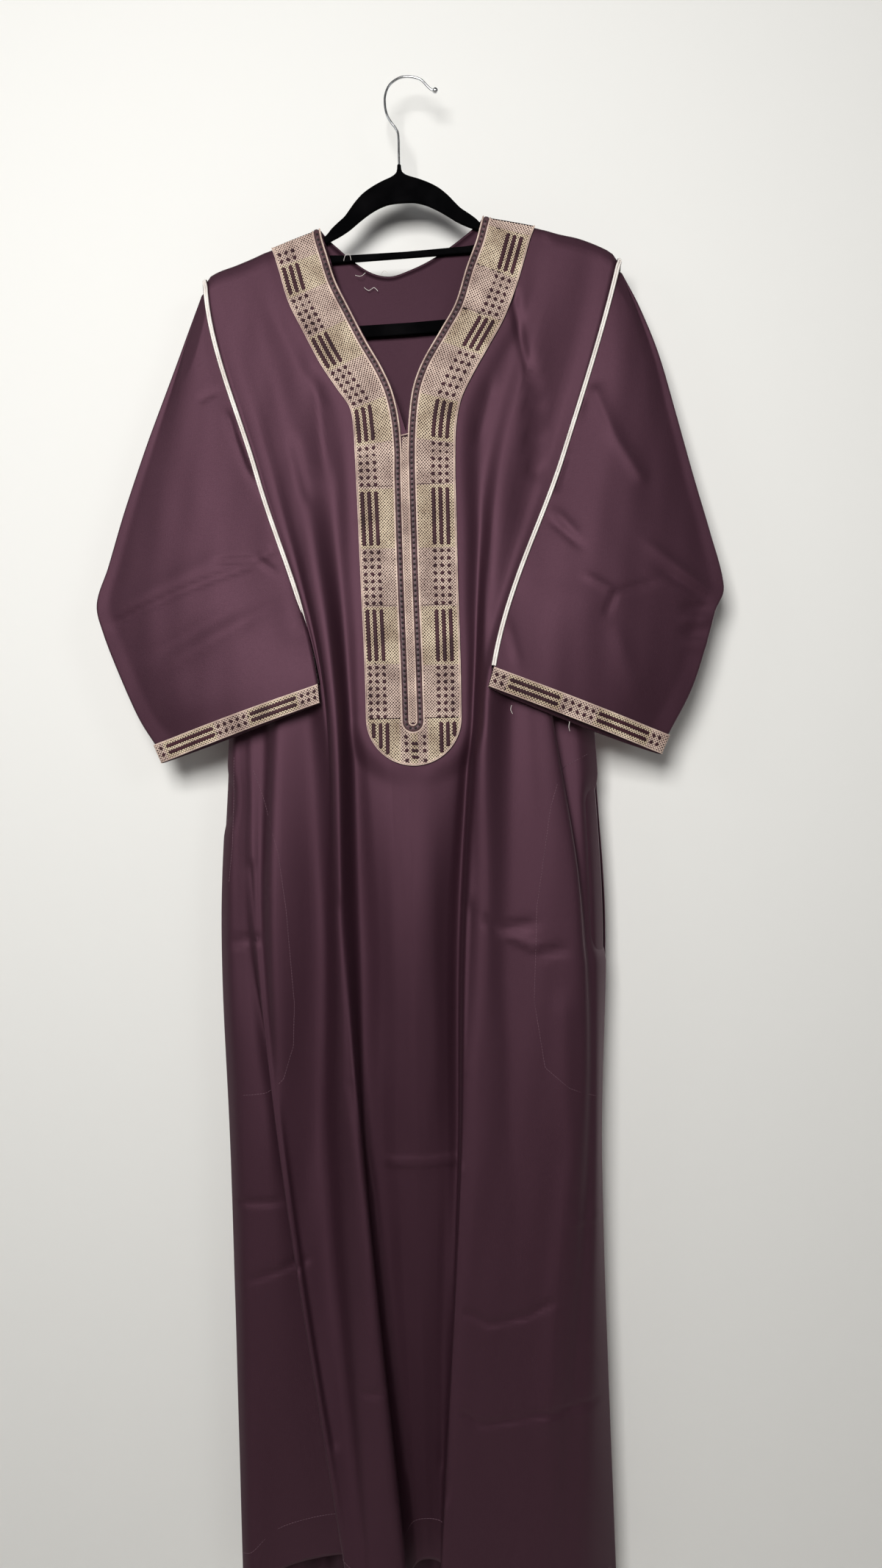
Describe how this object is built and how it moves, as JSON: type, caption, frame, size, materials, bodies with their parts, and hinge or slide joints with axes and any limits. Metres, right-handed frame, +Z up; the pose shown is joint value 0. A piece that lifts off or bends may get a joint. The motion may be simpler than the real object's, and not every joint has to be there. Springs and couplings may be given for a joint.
{
  "type": "thobe on a hanger",
  "caption": "Long wide-sleeved thobe with an embroidered bib round a deep open neck and slit, hung on a flat hanger with a wire hook.",
  "frame": {"origin": "inside of the top of the hook's arch, where the hook rests on what holds it", "axes": "+Z up, -Y the front of the garment, +X to the right of someone facing it"},
  "size_m": [0.6786, 0.094, 1.6777],
  "materials": {
    "cloth": "fine plain weave, soft",
    "embroidery": "dense cream thread on plum",
    "edge_braid": "plum braid with a pale twisted cord",
    "white_braid": "white twisted braid",
    "hanger_velvet": "black flock",
    "hook_metal": "polished"
  },
  "bodies": {
    "root": {"front_panel": "cloth", "back_panel": "cloth", "sleeve_left_front": "cloth", "sleeve_left_back": "cloth", "sleeve_right_front": "cloth", "sleeve_right_back": "cloth", "back_neck_facing": "cloth", "pocket_left": "cloth", "pocket_right": "cloth", "neck_band": "embroidery", "placket_strip": "embroidery", "cuff_band_left": "embroidery", "cuff_band_right": "embroidery", "edge_braid": "edge_braid", "armhole_braid_left": "white_braid", "armhole_braid_right": "white_braid", "hanger_body": "hanger_velvet", "hanger_collar": "hanger_velvet", "hanger_hook": "hook_metal"}
  },
  "joints": []
}
